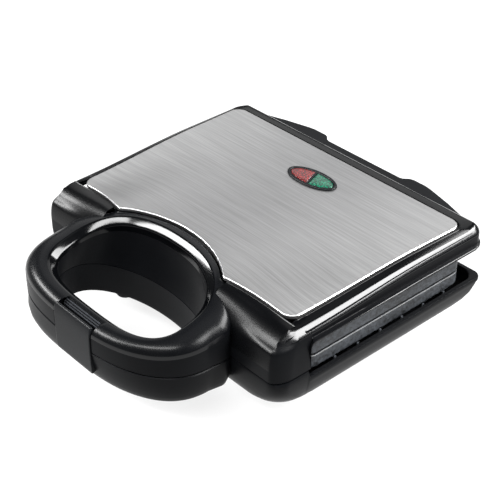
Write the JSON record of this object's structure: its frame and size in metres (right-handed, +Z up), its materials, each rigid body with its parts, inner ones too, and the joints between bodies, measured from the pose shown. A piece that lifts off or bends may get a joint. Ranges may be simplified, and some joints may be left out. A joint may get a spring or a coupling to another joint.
{
  "type": "panini press",
  "caption": "Two-slice panini press, closed: gloss black body, brushed steel lid panel with an oval pilot lamp, loop handle with a clip latch",
  "frame": {"origin": "centre of the bounding box on the plane the four feet stand on", "axes": "X to the right as seen from the handle, Y from the handle to the hinge at the back, Z up"},
  "size_m": [0.2426, 0.263, 0.0875],
  "materials": {
    "body_plastic": "moulded, high gloss black",
    "latch_plastic": "moulded, satin dark grey",
    "panel_steel": "brushed across, from side to side",
    "plate_metal": "die-cast aluminium with a grainy dark non-stick coating",
    "sheet_metal": "plain rolled sheet",
    "fastener_steel": "zinc plated",
    "foot_rubber": "moulded, matte",
    "red_lens": "translucent, polished",
    "green_lens": "translucent, polished",
    "insulator": "pale heat-proof moulding",
    "bezel_plastic": "moulded, satin black"
  },
  "bodies": {
    "base": {"lower_housing": "body_plastic", "lower_handle": "body_plastic", "lower_handle_screw_left": "fastener_steel", "lower_handle_screw_right": "fastener_steel", "lower_plate": "plate_metal", "lower_heating_element": "sheet_metal", "lower_thermostat": "insulator", "lower_clamp_left": "sheet_metal", "lower_clamp_right": "sheet_metal", "lower_clamp_screw_left_1": "fastener_steel", "lower_clamp_screw_left_2": "fastener_steel", "lower_clamp_screw_right_1": "fastener_steel", "lower_clamp_screw_right_2": "fastener_steel", "lower_reflector": "sheet_metal", "foot_front_left": "foot_rubber", "foot_front_right": "foot_rubber", "foot_rear_left": "foot_rubber", "foot_rear_right": "foot_rubber", "foot_screw_front_left": "fastener_steel", "foot_screw_front_right": "fastener_steel", "foot_screw_rear_left": "fastener_steel", "foot_screw_rear_right": "fastener_steel", "hinge_pin_left": "fastener_steel", "hinge_pin_right": "fastener_steel", "terminal_block": "insulator", "thermal_fuse": "insulator", "cord_gland": "foot_rubber"},
    "lid": {"upper_housing": "body_plastic", "upper_handle": "body_plastic", "upper_handle_screw_left": "fastener_steel", "upper_handle_screw_right": "fastener_steel", "steel_panel": "panel_steel", "lamp_bezel": "bezel_plastic", "red_lens": "red_lens", "green_lens": "green_lens", "upper_plate": "plate_metal", "upper_heating_element": "sheet_metal", "upper_thermostat": "insulator", "upper_clamp_left": "sheet_metal", "upper_clamp_right": "sheet_metal", "upper_clamp_screw_left_1": "fastener_steel", "upper_clamp_screw_left_2": "fastener_steel", "upper_clamp_screw_right_1": "fastener_steel", "upper_clamp_screw_right_2": "fastener_steel", "upper_reflector": "sheet_metal", "lamp_holder": "latch_plastic", "power_lamp": "red_lens", "ready_lamp": "green_lens", "latch_pin": "fastener_steel"},
    "latch_body": {"latch": "latch_plastic"}
  },
  "joints": [
    {"name": "lid_hinge", "type": "hinge", "parent": "base", "child": "lid", "pos_m": [0, 0.1245, 0.047], "axis": [-1, 0, 0], "range_deg": [0, 105]},
    {"name": "latch_pivot", "type": "hinge", "parent": "lid", "child": "latch_body", "pos_m": [0, -0.1254, 0.0555], "axis": [-1, 0, 0], "range_deg": [0, 25]}
  ]
}
